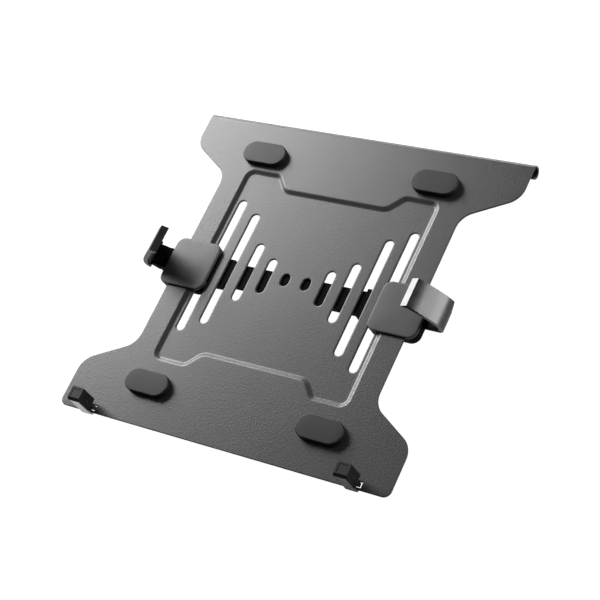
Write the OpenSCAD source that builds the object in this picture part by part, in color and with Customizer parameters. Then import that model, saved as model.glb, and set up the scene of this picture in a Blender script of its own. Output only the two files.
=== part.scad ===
// Laptop tray mount: a pressed steel tray with a rolled rear hem, rubber pads,
// two front stops and two sprung side clamps that slide out along X.
// Millimetres. +X is to the right of a person at the laptop, +Y is to the rear.
// The origin is the centre of the slot pattern, on the top of the sunken panel.

/* [Tray sheet] */
// Thickness of the steel sheet
sheet_t = 1.5; // [1.0:0.1:2.0]
// Full width of the tray over its wide ends
tray_w = 283; // [270:1:320]
// Width across the waist, where the clamps sit
waist_w = 206; // [200:1:216]
// Front edge to the slot centre
front_y = 137; // [130:1:150]
// Centre of the rear hem to the slot centre
hem_y = 124; // [118:1:140]
// Where the wide ends begin to narrow, front and rear
shoulder_y = 98.5; // [94:0.5:104]
// Where the straight waist begins
waist_y = 76.3; // [70:0.1:80]
// Fillet at the shoulders and at the waist
shoulder_r = 16; // [8:1:20]
// Radius of the two front corners
front_r = 5.5; // [2:0.5:12]
// Outer radius of the rolled rear hem
hem_r = 5; // [4:0.1:6]

/* [Sunken panel] */
// Depth of the pressing, from the deck down to the panel
press_d = 1.5; // [0.8:0.1:2.5]
// Plan width of the sloping wall
wall_w = 4.7; // [3.5:0.1:6]
// Half width of the pressing at the deck
press_x = 85.3; // [84:0.1:90]
// Half length of the pressing beside its steps
press_y = 85.5; // [80:0.1:92]
// Half length of the pressing between its steps
step_y = 73.4; // [66:0.1:76]
// Half width of the stepped middle, measured at step_y
step_x = 43.5; // [36:0.5:50]
// Corner radius of the pressing
press_r = 8.5; // [6:0.5:12]

/* [Slots] */
// Width of every slot
slot_w = 7; // [5:0.1:8]
// Innermost slots from the middle
slot_first = 9; // [8:0.1:11]
// Spacing of the slots along X
slot_pitch = 16.5; // [14:0.1:17]
// Full lengths of the five slots on each side, from the middle out
slot_lengths = [10, 29, 49, 96, 115];

/* [Rubber pads] */
// Length of a pad along X
pad_l = 37.5; // [30:0.5:44]
// Width of a pad along Y
pad_w = 18.5; // [14:0.5:22]
// Height of a pad above the deck
pad_h = 5; // [2:0.5:8]
// Edge round on the top of a pad
pad_r = 1; // [0.4:0.1:2]
// Pad centres in from the side edges of the tray
pad_in = 67; // [55:0.5:72]
// Rear pad centres along Y
pad_rear_y = 98; // [96:0.5:108]
// Front pad centres along Y
pad_front_y = 105; // [97:0.5:115]

/* [Front stops] */
// Holes of the stops in from the side edges of the tray
stop_in = 27.5; // [20:0.5:40]
// How far to the right both stops sit in their holes
stop_set = -1; // [-1.1:0.1:1.1]
// Width and depth of a rubber stop
stop_w = 10.5; // [9:0.5:14]
// Height of a stop above the deck
stop_h = 20.6; // [16:0.1:28]
// Thickness of the steel strap
strap_t = 1.2; // [0.8:0.1:1.6]
// Width of the strap up the front of the stop
strap_w = 8.8; // [7:0.1:9]
// Diameter of the cross pin
stop_pin_d = 1.6; // [1:0.1:2]

/* [Side clamps] */
// Middle line of both clamps along Y
clamp_y = -3.5; // [-10:0.5:10]
// Middle line of the covers and bases along Y
cover_y = -4.6; // [-6:0.1:-2]
// Inner end of the clamp cover from the middle
cover_in = 71.2; // [69:0.1:74]
// How far the cover and its base stand out past the waist
cover_over = 8.2; // [7:0.1:14]
// Width of the cover along Y
cover_w = 39.9; // [36:0.1:46]
// Height of the cover's crown above the deck
cover_h = 2.7; // [2.4:0.1:5]
// Corner radius of the cover in plan
cover_r = 6.5; // [4:0.5:8]
// Width of the sliding arm
arm_w = 15; // [13:0.1:17]
// Height of the sliding arm
arm_h = 3.8; // [3:0.1:4.4]
// How far the right clamp stands open, as photographed
right_open = 3.5; // [0:0.5:10]
// Running gap on each side of the arm
slide_gap = 0.2; // [0.1:0.05:0.4]
// Shank diameter of the clamp screws
screw_d = 3; // [2.5:0.1:3.5]

/* [Claws] */
// Width of a claw along Y
claw_w = 21.8; // [20:0.2:32]
// Wall thickness of a claw
claw_t = 3.4; // [2.5:0.1:4]
// Thickness of the rubber liner
liner_t = 1.8; // [1:0.1:2.5]
// Height of the claw's tip above the panel
claw_top = 32.6; // [26:0.2:40]
// How far the claw's belly stands out past the cover when closed
claw_reach = 15.9; // [12:0.1:20]
// How far the claw's tip reaches back over the cover when closed
claw_hook = 3; // [2:0.1:8]
// Width of the flat face across the claw's tip
tip_w = 6; // [5.4:0.1:7]
// Slope of that face
tip_slope = 22; // [10:1:35]

/* [Springs] */
// Wire diameter
wire_d = 0.7; // [0.5:0.1:0.9]
// Outer diameter of the coils
coil_d = 3.4; // [3:0.1:3.6]
// Coils drawn on each spring
coils = 24; // [12:1:30]

/* [Hidden] */
$fn = 48;

// Levels, all measured from the top of the sunken panel
deck_z = press_d;
deck_under = deck_z - sheet_t;
panel_under = -sheet_t;
rest_z = deck_z - 2 * hem_r;
cut = 1;

// Steps in each rounded corner of a lofted form
arc_steps = 5;
// Rings down the sloping wall of the pressing
wall_rings = 5;
// Half length of the flat sheet that the rear corners end on
half_w = tray_w / 2;
half_waist = waist_w / 2;
pad_x = half_w - pad_in;
stop_x = half_w - stop_in;
cover_out = half_waist + cover_over;
step_run = 0.87 * (press_y - step_y);

// Front stop: the strap grips the strip of sheet ahead of its hole
strip_w = 1.7;
strip_gap = 0.1;
bend_r = 2.8;
bend_z = deck_under + 0.4;
strap_front_y = -front_y - strap_t - strip_gap;
strap_mid_y = strap_front_y + bend_r;
strap_rear_y = strap_mid_y + bend_r;
stop_rear_y = strap_front_y + stop_w;
hole_front_y = -front_y + strip_w;
hole_l = 4.1;
hole_w = 11;
lug_front_y = hole_front_y + strap_t;
waist_of_strap = 3;
stop_top = deck_z + stop_h;
strap_top = stop_top - 2.7;
cap_floor = deck_z + 4.5;
cap_bevel = 1.8;
pin_z = deck_z + 10.3;
pin_y = strap_rear_y - strap_t / 2;
eye_wall = 0.9;
fit = 0.1;

// Rail and slide channel, below the panel
rail_wall = 1.2;
rail_top_t = 1.0;
rail_lip_t = 0.9;
rail_lip = 2;
rail_in_w = arm_w + 2 * slide_gap;
rail_w = rail_in_w + 2 * rail_wall;
arm_top = panel_under - rail_top_t - slide_gap;
arm_under = arm_top - arm_h;
lip_top = arm_under - slide_gap;
rail_under = lip_top - rail_lip_t;
rail_end = cover_in + 3.5;
tongue_in = cover_in - 13.5;
tongue_wall = 2.5;

// Cover and base in plan
cover_cx = (cover_in + cover_out) / 2;
cover_half_x = (cover_out - cover_in) / 2;
cover_half_y = cover_w / 2;

// Arm ends and the lanes that the two springs run in
arm_in = 4;
arm_out = cover_out + 8.3;
lane_y = 3.6;
lane_w = 4.4;
lane_end = rail_end + 2;
bay_l = 9;
post_x = arm_in + 5;
post_d = 2;
anchor_x = tongue_in + 9;
spring_z = (arm_top + arm_under) / 2 - 0.2;

// Screw places in a clamp
slot_screw_x = slot_first + (len(slot_lengths) - 1) * slot_pitch;
slot_screw_y = 13.5;
edge_screw_x = cover_out - 4.5;
edge_screw_y = 12.5;
boss_d = slot_w - 0.6;
head_d = 5.6;
head_h = 1.8;
head_seat_z = rest_z + head_h + 0.6;
screw_tip = deck_z + 1.4;
claw_screw_y = 4.5;
claw_screw_x = cover_out + 4.4;
claw_screw_tip = 1.2;
root_w = arm_w + 2;
root_in = cover_out + 1.2;
root_top = 2.4;
claw_out = cover_out + claw_reach;
lip_z = 2;
liner_in = 0.8;
tip_t = 1.8;
notch_l = 6.5;
notch_z = 5.5;

// Springs: a loop at each end, the coil between them
loop_r = (post_d + wire_d) / 2 + 0.05;
coil_r = (coil_d - wire_d) / 2;
coil_from = -anchor_x + loop_r + 1.6;
coil_to = arm_in - 0.5;
turn_steps = 8;
// Steps between the points of a claw's outline
path_steps = 3;
bend_skip = path_steps + 1;
liner_from = 3 * path_steps;
liner_short = path_steps - 1;
echo(least_gap_between_turns = (coil_to - coil_from) / coils - wire_d);

// Colours
steel_c = "DimGray";
rubber_c = [0.14, 0.14, 0.15];
plastic_c = [0.22, 0.22, 0.23];
dark_c = [0.08, 0.08, 0.09];
bright_c = "Silver";

// Turn direction at corner b of the path a, b, c: positive is to the left
function turn(a, b, c) = (b[0] - a[0]) * (c[1] - b[1]) - (b[1] - a[1]) * (c[0] - b[0]);
function unit(v) = v / norm(v);
function flat(v) = [v[0], v[1]];

// One filleted corner [x, y, r] of a counter-clockwise outline, set in by inset
function corner(a, b, c, inset, steps) =
    let (p = flat(b), u = unit(flat(a) - p), v = unit(flat(c) - p))
    let (half = acos(max(-1, min(1, u * v))) / 2)
    let (mid = p + unit(u + v) * b[2] / sin(half))
    let (from = p + u * b[2] / tan(half) - mid, to = p + v * b[2] / tan(half) - mid)
    let (a0 = atan2(from[1], from[0]), raw = atan2(to[1], to[0]) - a0)
    let (sweep = raw > 180 ? raw - 360 : raw < -180 ? raw + 360 : raw)
    let (r = turn(a, b, c) > 0 ? b[2] - inset : b[2] + inset)
    [for (i = [0:steps]) mid + r * [cos(a0 + sweep * i / steps), sin(a0 + sweep * i / steps)]];

// A whole outline with every corner filleted, set in by inset
function outline(corners, inset = 0, steps = arc_steps) =
    let (n = len(corners))
    [for (i = [0:n - 1])
        each corner(corners[(i + n - 1) % n], corners[i], corners[(i + 1) % n], inset, steps)];

// A solid through a stack of rings, each with the same number of points
module loft(rings, heights) {
    n = len(rings[0]);
    last = len(rings) - 1;
    points = [for (k = [0:last]) for (p = rings[k]) [p[0], p[1], heights[k]]];
    floor_face = [[for (i = [0:n - 1]) i]];
    roof_face = [[for (i = [n - 1:-1:0]) last * n + i]];
    sides = [for (k = [0:last - 1]) for (i = [0:n - 1]) let (j = (i + 1) % n)
        each [[k * n + i, (k + 1) * n + i, k * n + j],
              [k * n + j, (k + 1) * n + i, (k + 1) * n + j]]];
    polyhedron(points = points, faces = concat(floor_face, roof_face, sides), convexity = 6);
}

// Places its children on the left or the right, one the mirror of the other
module side(s) {
    if (s > 0) children();
    else mirror([1, 0, 0]) children();
}

// TRAY

// Flat outline of the tray from its front edge to the start of the hem
module tray_outline() {
    polygon(outline([
        [-half_w, -front_y, front_r], [half_w, -front_y, front_r],
        [half_w, -shoulder_y, shoulder_r], [half_waist, -waist_y, shoulder_r],
        [half_waist, waist_y, shoulder_r], [half_w, shoulder_y, shoulder_r],
        [half_w, hem_y, 0.5], [-half_w, hem_y, 0.5],
        [-half_w, shoulder_y, shoulder_r], [-half_waist, waist_y, shoulder_r],
        [-half_waist, -waist_y, shoulder_r], [-half_w, -shoulder_y, shoulder_r]
    ], 0, 8));
    translate([-half_w, hem_y - 2]) square([tray_w, 2]);
}

// Where the pressing starts on the deck: square, with a step at front and rear
function press_corners() = [
    [press_x, -press_y, press_r], [press_x, press_y, press_r],
    [step_x + step_run, press_y, press_r - 0.5], [step_x, step_y, press_r - 0.5],
    [-step_x, step_y, press_r - 0.5], [-step_x - step_run, press_y, press_r - 0.5],
    [-press_x, press_y, press_r], [-press_x, -press_y, press_r],
    [-step_x - step_run, -press_y, press_r - 0.5], [-step_x, -step_y, press_r - 0.5],
    [step_x, -step_y, press_r - 0.5], [step_x + step_run, -press_y, press_r - 0.5]
];

// The point across the X axis from point i of an outline that starts at its lower right corner
function opposite(i, n) = (2 * arc_steps + 1 - i + n) % n;

// The pan: floor and sloping wall as one shell of even thickness, its rim square to the deck.
// The wall follows an S curve, and the floor is cut into strips across Y.
module pan() {
    steps = [for (i = [0:wall_rings]) i / wall_rings];
    drops = [for (t = steps) press_d * (1 - cos(180 * t)) / 2];
    rings = [for (t = steps) outline(press_corners(), wall_w * t)];
    n = len(rings[0]);
    m = wall_rings + 1;
    rim_l = arc_steps + 1;
    last_strip = n / 2 + rim_l - 2;
    points = [for (top = [deck_z, deck_under]) for (k = [0:wall_rings]) for (p = rings[k])
        [p[0], p[1], top - drops[k]]];
    floor_top = (m - 1) * n;
    floor_under = (2 * m - 1) * n;
    polyhedron(points = points, faces = concat(
        [for (i = [rim_l:last_strip])
            let (j = opposite(i, n), k = opposite(i + 1, n))
            [floor_top + i + 1, floor_top + i, floor_top + j, floor_top + k]],
        [for (i = [rim_l:last_strip])
            let (j = opposite(i, n), k = opposite(i + 1, n))
            [floor_under + i, floor_under + i + 1, floor_under + k, floor_under + j]],
        [for (k = [0:m - 2]) for (i = [0:n - 1]) let (j = (i + 1) % n)
            each [[k * n + i, (k + 1) * n + i, k * n + j],
                  [k * n + j, (k + 1) * n + i, (k + 1) * n + j]]],
        [for (k = [m:2 * m - 2]) for (i = [0:n - 1]) let (j = (i + 1) % n)
            each [[k * n + i, k * n + j, (k + 1) * n + i],
                  [k * n + j, (k + 1) * n + j, (k + 1) * n + i]]],
        [for (i = [0:n - 1]) let (j = (i + 1) % n)
            each [[i, j, m * n + i], [j, m * n + j, m * n + i]]]
    ), convexity = 6);
}

// One slot with round ends, along Y
module slot(length) {
    run = length - slot_w;
    translate([0, 0, panel_under - cut]) linear_extrude(sheet_t + 2 * cut) {
        translate([-slot_w / 2, -run / 2]) square([slot_w, run]);
        for (end = [-1, 1]) translate([0, end * run / 2]) circle(d = slot_w);
    }
}

// The rear edge rolled down and under, three quarters of a turn
module hem() {
    translate([-half_w, hem_y, deck_z - hem_r]) rotate([90, 0, 90]) linear_extrude(tray_w)
        difference() {
            circle(r = hem_r, $fn = 64);
            circle(r = hem_r - sheet_t, $fn = 64);
            translate([-hem_r - cut, 0]) square([hem_r + cut, hem_r + cut]);
        }
}

module tray_plate() color(steel_c) {
    difference() {
        union() {
            translate([0, 0, deck_under]) linear_extrude(sheet_t) difference() {
                tray_outline();
                polygon(outline(press_corners()));
            }
            pan();
        }
        for (s = [-1, 1], i = [0:len(slot_lengths) - 1])
            translate([s * (slot_first + i * slot_pitch), 0, 0]) slot(slot_lengths[i]);
        for (s = [-1, 1]) translate([s * stop_x - hole_w / 2, hole_front_y, deck_under - cut])
            cube([hole_w, hole_l, sheet_t + 2 * cut]);
    }
    hem();
}

// PADS

// Half section of a pad, revolved for its round ends
module pad_section() {
    polygon(concat(
        [[0, 0], [pad_w / 2, 0]],
        [for (a = [0:15:90]) [pad_w / 2 - pad_r + pad_r * cos(a), pad_h - pad_r + pad_r * sin(a)]],
        [[0, pad_h]]
    ));
}

module pad(x, y) color(rubber_c) translate([x, y, deck_z]) {
    run = pad_l - pad_w;
    for (end = [-1, 1]) translate([end * run / 2, 0, 0]) rotate_extrude() pad_section();
    translate([-run / 2, 0, 0]) rotate([90, 0, 90]) linear_extrude(run) {
        pad_section();
        mirror([1, 0]) pad_section();
    }
}

// FRONT STOPS

// Side view of the strap: y runs to the right, z up
module strap_section(rear) {
    if (rear) {
        intersection() {
            strap_ring();
            translate([0, -bend_r]) square([bend_r, bend_r]);
        }
        translate([bend_r - strap_t, 0]) square([strap_t, pin_z - bend_z]);
    } else {
        intersection() {
            strap_ring();
            translate([-bend_r, -bend_r]) square([bend_r, bend_r]);
        }
        translate([-bend_r, 0]) square([strap_t, strap_top - bend_z]);
    }
}

module strap_ring() difference() {
    circle(r = bend_r);
    circle(r = bend_r - strap_t);
}

// Extrudes a side view along X, centred on x = 0
module across(width) rotate([90, 0, 90]) translate([0, 0, -width / 2]) linear_extrude(width) children();

module stop_strap(s) color(bright_c) translate([s * stop_x + stop_set, strap_mid_y, bend_z]) {
    across(strap_w) strap_section(false);
    difference() {
        union() {
            across(waist_of_strap) strap_section(true);
            translate([0, pin_y - strap_mid_y, pin_z - bend_z]) rotate([0, 90, 0])
                cylinder(d = stop_pin_d + 2 * eye_wall, h = waist_of_strap, center = true);
        }
        translate([0, pin_y - strap_mid_y, pin_z - bend_z]) rotate([0, 90, 0])
            cylinder(d = stop_pin_d + fit, h = waist_of_strap + cut, center = true);
    }
}

module stop_cap(s) color(rubber_c) translate([s * stop_x + stop_set, 0, 0]) difference() {
    intersection() {
        union() {
            across(stop_w) polygon([
                [strap_front_y, cap_floor], [stop_rear_y, cap_floor], [stop_rear_y, stop_top],
                [strap_front_y + cap_bevel, stop_top], [strap_front_y, stop_top - cap_bevel]
            ]);
            translate([-strap_w / 2, lug_front_y, panel_under])
                cube([strap_w, hole_front_y + hole_l - fit - lug_front_y, cap_floor - panel_under]);
        }
        translate([0, 0, panel_under]) linear_extrude(stop_top + sheet_t) polygon(outline([
            [-stop_w / 2, strap_front_y, 0.8], [stop_w / 2, strap_front_y, 0.8],
            [stop_w / 2, stop_rear_y, 0.8], [-stop_w / 2, stop_rear_y, 0.8]]));
    }
    // Seat of the front leg
    translate([-strap_w / 2 - fit, strap_front_y - cut, -cut])
        cube([strap_w + 2 * fit, strap_t + cut + fit, strap_top + fit + cut]);
    // Pocket of the rear leg and its eye
    pocket = waist_of_strap + 2 * fit;
    translate([0, pin_y - strap_t / 2 - fit, panel_under - cut]) translate([-pocket / 2, 0, 0])
        cube([pocket, strap_t + 2 * fit, pin_z - panel_under + cut]);
    translate([-pocket / 2, lug_front_y - cut, panel_under - cut])
        cube([pocket, pin_y - lug_front_y + cut, bend_z + 2 * fit - panel_under + cut]);
    translate([0, pin_y, pin_z]) rotate([0, 90, 0])
        cylinder(d = stop_pin_d + 2 * eye_wall + 2 * fit, h = pocket, center = true);
    translate([0, pin_y, pin_z]) rotate([0, 90, 0])
        cylinder(d = stop_pin_d + fit, h = stop_w + cut, center = true);
    // Shallow square on top
    translate([-stop_w / 2 + 1.6, strap_front_y + cap_bevel + 0.6, stop_top - 0.3])
        cube([stop_w - 3.2, stop_w - cap_bevel - 2.2, cut]);
}

module stop_pin(s) color(bright_c) translate([s * stop_x + stop_set, pin_y, pin_z]) rotate([0, 90, 0])
    cylinder(d = stop_pin_d, h = stop_w, center = true);

// CLAMP HOUSINGS, drawn on the right and mirrored to the left

// Rounded rectangle of the cover, drawn in by inset with its corners softened
function cover_ring(inset) =
    let (hx = cover_half_x - inset, hy = cover_half_y - inset)
    let (r = cover_r * (1 - 0.9 * inset / cover_half_y))
    [for (p = outline([[-hx, -hy, r], [hx, -hy, r], [hx, hy, r], [-hx, hy, r]], 0, 7))
        p + [cover_cx, cover_y]];

module clamp_cover(s) color(plastic_c) side(s) difference() {
    union() {
        // Crowned top: each pair is a ring's share of the half width and of the height
        crown = [[0, 0], [0, 0.5], [0.008, 0.6], [0.025, 0.68], [0.06, 0.73], [0.15, 0.79],
                 [0.33, 0.87], [0.56, 0.94], [0.78, 0.985], [0.91, 1]];
        loft([for (c = crown) cover_ring(c[0] * cover_half_y)], [for (c = crown) deck_z + c[1] * cover_h]);
        // Bosses that drop through the outermost slot and locate the cover
        for (y = [-1, 1]) translate([slot_screw_x, clamp_y + y * slot_screw_y, panel_under])
            cylinder(d = boss_d, h = deck_z - panel_under + 0.5);
    }
    clamp_holes(screw_tip + 0.2, screw_d + fit);
}

// Where the four screws of a clamp stand
clamp_screw_places = [for (y = [-1, 1]) each [
    [slot_screw_x, clamp_y + y * slot_screw_y], [edge_screw_x, clamp_y + y * edge_screw_y]]];

// Four vertical holes at the screws, from below the base up to top
module clamp_holes(top, d) for (p = clamp_screw_places)
    translate([p[0], p[1], rest_z - cut]) cylinder(d = d, h = top - rest_z + cut);

module clamp_base(s) color(dark_c) side(s) difference() {
    union() {
        // Shell with a rounded lower edge
        foot = [[4, rest_z], [2.4, rest_z + 0.5], [1.1, rest_z + 1.5], [0.3, rest_z + 3], [0, deck_z]];
        loft([for (f = foot) cover_ring(f[0])], [for (f = foot) f[1]]);
        // Tongue that holds the end of the rail
        translate([tongue_in, clamp_y - rail_w / 2 - tongue_wall, rest_z])
            cube([cover_in - tongue_in + 4, rail_w + 2 * tongue_wall, panel_under - rest_z]);
    }
    // Room for the sheet: the deck, and the panel that lies lower
    translate([0, clamp_y - cover_w, deck_under]) cube([half_waist + 0.3, 2 * cover_w, cut + deck_z]);
    translate([0, clamp_y - cover_w, panel_under])
        cube([press_x + 0.7, 2 * cover_w, cut + deck_z - panel_under]);
    // Socket of the rail, then the channel of the arm
    translate([tongue_in - cut, clamp_y - rail_w / 2 - fit, rail_under])
        cube([rail_end + fit - tongue_in + cut, rail_w + 2 * fit, panel_under + cut - rail_under]);
    translate([rail_end, clamp_y - rail_in_w / 2, lip_top])
        cube([cover_out - rail_end + cut, rail_in_w, arm_top + slide_gap - lip_top]);
    clamp_holes(deck_z + cut, screw_d + 0.4);
    clamp_holes(head_seat_z, head_d + 0.4);
    // Blind seat of the anchor pin, in the lane of the other side's spring
    translate([anchor_x, clamp_y - s * lane_y, rest_z + 0.3])
        cylinder(d = post_d + fit, h = rail_under - rest_z);
}

// A pan head screw standing on its head
module screw(x, y, head_z, tip_z, d, head, head_l) translate([x, y, head_z]) difference() {
    union() {
        translate([0, 0, -head_l]) cylinder(d = head, h = head_l);
        cylinder(d = d, h = tip_z - head_z);
    }
    translate([0, 0, -head_l - cut]) cylinder(d = head * 0.45, h = cut + head_l * 0.6, $fn = 6);
}

module clamp_screws(s) color(bright_c) side(s) for (p = clamp_screw_places)
    screw(p[0], p[1], head_seat_z, screw_tip, screw_d, head_d, head_h);

// RAIL: a channel open below, its ends in the tongues of the two bases
module centre_rail() color(dark_c) difference() {
    translate([-rail_end, clamp_y - rail_w / 2, rail_under])
        cube([2 * rail_end, rail_w, panel_under - rail_under]);
    translate([-rail_end - cut, clamp_y - rail_in_w / 2, lip_top])
        cube([2 * (rail_end + cut), rail_in_w, arm_top + slide_gap - lip_top]);
    translate([-rail_end - cut, clamp_y - rail_in_w / 2 + rail_lip, rail_under - cut])
        cube([2 * (rail_end + cut), rail_in_w - 2 * rail_lip, lip_top - rail_under + 2 * cut]);
    for (s = [-1, 1]) translate([s * anchor_x, clamp_y - s * lane_y, arm_top])
        cylinder(d = post_d + fit, h = panel_under - arm_top + cut);
}

module spring_anchor_pins() color(bright_c) for (s = [-1, 1])
    translate([s * anchor_x, clamp_y - s * lane_y, rest_z + 0.4])
        cylinder(d = post_d, h = panel_under - 0.1 - rest_z - 0.4);

// SLIDING PARTS, drawn for the right and turned half round for the left

module turned(s) translate([0, clamp_y, 0]) rotate([0, 0, s > 0 ? 0 : 180]) children();

// Moves its children out with the clamp: the right one stands open
function opened(s) = s > 0 ? right_open : 0;
module slid(s) translate([opened(s), 0, 0]) children();

module slide_arm(s) color(dark_c) turned(s) slid(s) {
    difference() {
        translate([arm_in, -arm_w / 2, arm_under]) cube([arm_out - arm_in, arm_w, arm_h]);
        // Lane of the other side's spring
        translate([arm_in - cut, -lane_y - lane_w / 2, arm_under - cut])
            cube([lane_end - arm_in + cut, lane_w, arm_h + 2 * cut]);
        // Bay round the post of its own spring
        translate([arm_in - cut, lane_y - lane_w / 2, arm_under - cut])
            cube([bay_l + cut, lane_w, arm_h + cut - 0.9]);
        for (y = [-1, 1]) {
            translate([claw_screw_x, y * claw_screw_y, arm_under - cut]) {
                cylinder(d = screw_d + 0.4, h = arm_h + 2 * cut);
                cylinder(d = head_d + 0.4, h = cut + head_h);
            }
        }
    }
    translate([post_x, lane_y, arm_under + 0.3]) cylinder(d = post_d, h = arm_h - 0.5);
}

// Outer face of a claw from its lower lip to its tip, x along and z up. Each row holds its
// shares of the reach, of the hook and of the height.
function claw_points() = [for (p = [
    [0.811, 0, 0], [0.937, 0, 0.046], [1, 0, 0.157], [0.956, 0, 0.268], [0.811, 0, 0.412],
    [0.623, 0, 0.542], [0.409, 0, 0.673], [0.157, 0, 0.824], [0, 0.133, 0.922], [0, 1, 1]
]) [cover_out + p[0] * claw_reach - p[1] * claw_hook, lip_z + p[2] * (claw_top - lip_z)]];

// A smooth line through a path's points, with some steps between each two
function smooth(path, steps) = let (last = len(path) - 1) concat(
    [for (i = [0:last - 1], k = [0:steps - 1])
        let (t = k / steps, a = path[max(i - 1, 0)], b = path[i])
        let (c = path[i + 1], d = path[min(i + 2, last)])
        b + 0.5 * t * (c - a + t * (2 * a - 5 * b + 4 * c - d + t * (3 * b - a - 3 * c + d)))],
    [path[last]]);

function claw_path() = smooth(claw_points(), path_steps);

// The same line moved inwards, square to itself
function inward(path, d) = [for (i = [0:len(path) - 1])
    let (a = path[max(i - 1, 0)], b = path[min(i + 1, len(path) - 1)], t = unit(b - a))
    path[i] + d * [-t[1], t[0]]];

function reversed(path) = [for (i = [len(path) - 1:-1:0]) path[i]];

// A path without some points at its low end and at its tip
function share(path, low, high) = [for (i = [low:len(path) - 1 - high]) path[i]];

// The shell of the claw, a band with a lip across its tip. The lip has a flat face that slopes
// down over the end of the liner. The inner line skips the tight bend near the lower end, where
// it would fold over itself.
module shell_section() {
    path = claw_path();
    last = len(path) - 1;
    along = unit(path[last] - path[last - 1]);
    inner = path[last] - tip_w * [cos(tip_slope), sin(tip_slope)];
    polygon(concat(
        path, [inner, inner - tip_t * along],
        reversed(share(inward(path, claw_t), bend_skip, liner_short)),
        [inward(path, claw_t)[0]]));
}

// The root that stands on the arm and carries the lower lip
module root_section() polygon([
    [root_in, arm_top], [arm_out, arm_top], [claw_out - 2.9, 2.1], [claw_out - 2, 4.2],
    [claw_out - 4.6, 5.4], [claw_out - 8.1, 4.2], [claw_out - 11.4, root_top], [root_in, root_top]
]);

// Extrudes a section of the claw across Y, centred on the clamp
module over(width) rotate([90, 0, 0]) translate([0, 0, -width / 2]) linear_extrude(width) children();

module claw(s) color(plastic_c) side(s) slid(s) translate([0, clamp_y, 0]) difference() {
    union() {
        over(claw_w) shell_section();
        over(root_w) root_section();
    }
    // Step in the outer lip at the rear
    translate([claw_out - 3.6, 0, 0]) rotate([90, 0, 90]) linear_extrude(claw_t + cut + 3) polygon([
        [claw_w / 2 - notch_l, -5], [claw_w / 2 - notch_l, notch_z],
        [claw_w / 2 + cut, notch_z + 2.6], [claw_w / 2 + cut, -5]]);
    for (y = [-1, 1]) translate([claw_screw_x, y * claw_screw_y, arm_top - cut])
        cylinder(d = screw_d + fit, h = claw_screw_tip + 0.2 + cut - arm_top);
}

// The liner runs up the inside of the claw, from above its lower bend to the lip
module claw_liner(s) color(rubber_c) side(s) slid(s) translate([0, clamp_y, 0])
    over(claw_w - 2 * liner_in) polygon(concat(
        share(inward(claw_path(), claw_t), liner_from, liner_short),
        reversed(share(inward(claw_path(), claw_t + liner_t), liner_from, liner_short))));

module claw_screws(s) color(bright_c) side(s) slid(s) for (y = [-1, 1])
    screw(claw_screw_x, clamp_y + y * claw_screw_y, arm_under + head_h, claw_screw_tip, screw_d,
          head_d, head_h - 0.5);

// SPRINGS: a coil drawn between the fixed pin and the post on the arm, a loop at each end

function coil_line(s) = [for (i = [0:coils * turn_steps])
    let (t = i / (coils * turn_steps), a = 360 * i / turn_steps)
    [coil_from + (coil_to + opened(s) - coil_from) * t, coil_r * cos(a), coil_r * sin(a)]];
// Centre line: three quarters round the pin, along the coil and round the post
function spring_line(s) = concat(
    [for (a = [-200:50:50]) [-anchor_x + loop_r * cos(a), loop_r * sin(a), 0]],
    coil_line(s),
    [for (a = [130:50:380]) [post_x + opened(s) + loop_r * cos(a), loop_r * sin(a), 0]]
);

// A tube of six sides along a line of points
module tube(line, d) {
    n = 6;
    last = len(line) - 1;
    ring = [for (k = [0:last])
        let (t = unit(line[min(k + 1, last)] - line[max(k - 1, 0)]))
        let (ref = abs(t[0]) > 0.9 ? [0, 0, 1] : [1, 0, 0])
        let (u = unit(cross(t, ref)), v = cross(t, u))
        each [for (i = [0:n - 1]) line[k] + d / 2 * (u * cos(360 * i / n) + v * sin(360 * i / n))]];
    polyhedron(points = ring, faces = concat(
        [[for (i = [0:n - 1]) i]], [[for (i = [n - 1:-1:0]) last * n + i]],
        [for (k = [0:last - 1]) for (i = [0:n - 1]) let (j = (i + 1) % n)
            each [[k * n + i, (k + 1) * n + i, k * n + j],
                  [k * n + j, (k + 1) * n + i, (k + 1) * n + j]]]
    ), convexity = 8);
}

module tension_spring(s) color("Silver") turned(s) translate([0, lane_y, spring_z])
    tube(spring_line(s), wire_d);

tray_plate();
pad(-pad_x, pad_rear_y);  // rear_left_pad
pad(pad_x, pad_rear_y);  // rear_right_pad
pad(-pad_x, -pad_front_y);  // front_left_pad
pad(pad_x, -pad_front_y);  // front_right_pad
stop_strap(-1);  // left_stop_strap
stop_cap(-1);  // left_stop_cap
stop_pin(-1);  // left_stop_pin
stop_strap(1);  // right_stop_strap
stop_cap(1);  // right_stop_cap
stop_pin(1);  // right_stop_pin
centre_rail();
spring_anchor_pins();
clamp_cover(-1);  // left_clamp_cover
clamp_base(-1);  // left_clamp_base
clamp_screws(-1);  // left_clamp_screws
clamp_cover(1);  // right_clamp_cover
clamp_base(1);  // right_clamp_base
clamp_screws(1);  // right_clamp_screws
slide_arm(-1);  // left_slide_arm
claw(-1);  // left_claw
claw_liner(-1);  // left_claw_liner
claw_screws(-1);  // left_claw_screws
slide_arm(1);  // right_slide_arm
claw(1);  // right_claw
claw_liner(1);  // right_claw_liner
claw_screws(1);  // right_claw_screws
tension_spring(-1);  // left_tension_spring
tension_spring(1);  // right_tension_spring
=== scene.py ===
# %% [markdown]
# # A laptop tray mount
#
# The real object is a tray of pressed and powder coated steel. It has a sunken panel with ten
# slots, a rolled rear hem, four rubber pads, two padded front stops and two sprung side clamps.
# The CAD frame gives the bodies and most places. The sheet, the pads, the screws and the springs
# are drawn anew at the CAD's sizes. This lesson gives each piece its fine edges and its finish,
# so that light falls on it much as it does on the real thing.

# %% The frame and the tools
import math

import bmesh
import bpy
from mathutils import Matrix, Vector
from mathutils.geometry import delaunay_2d_cdt


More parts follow.
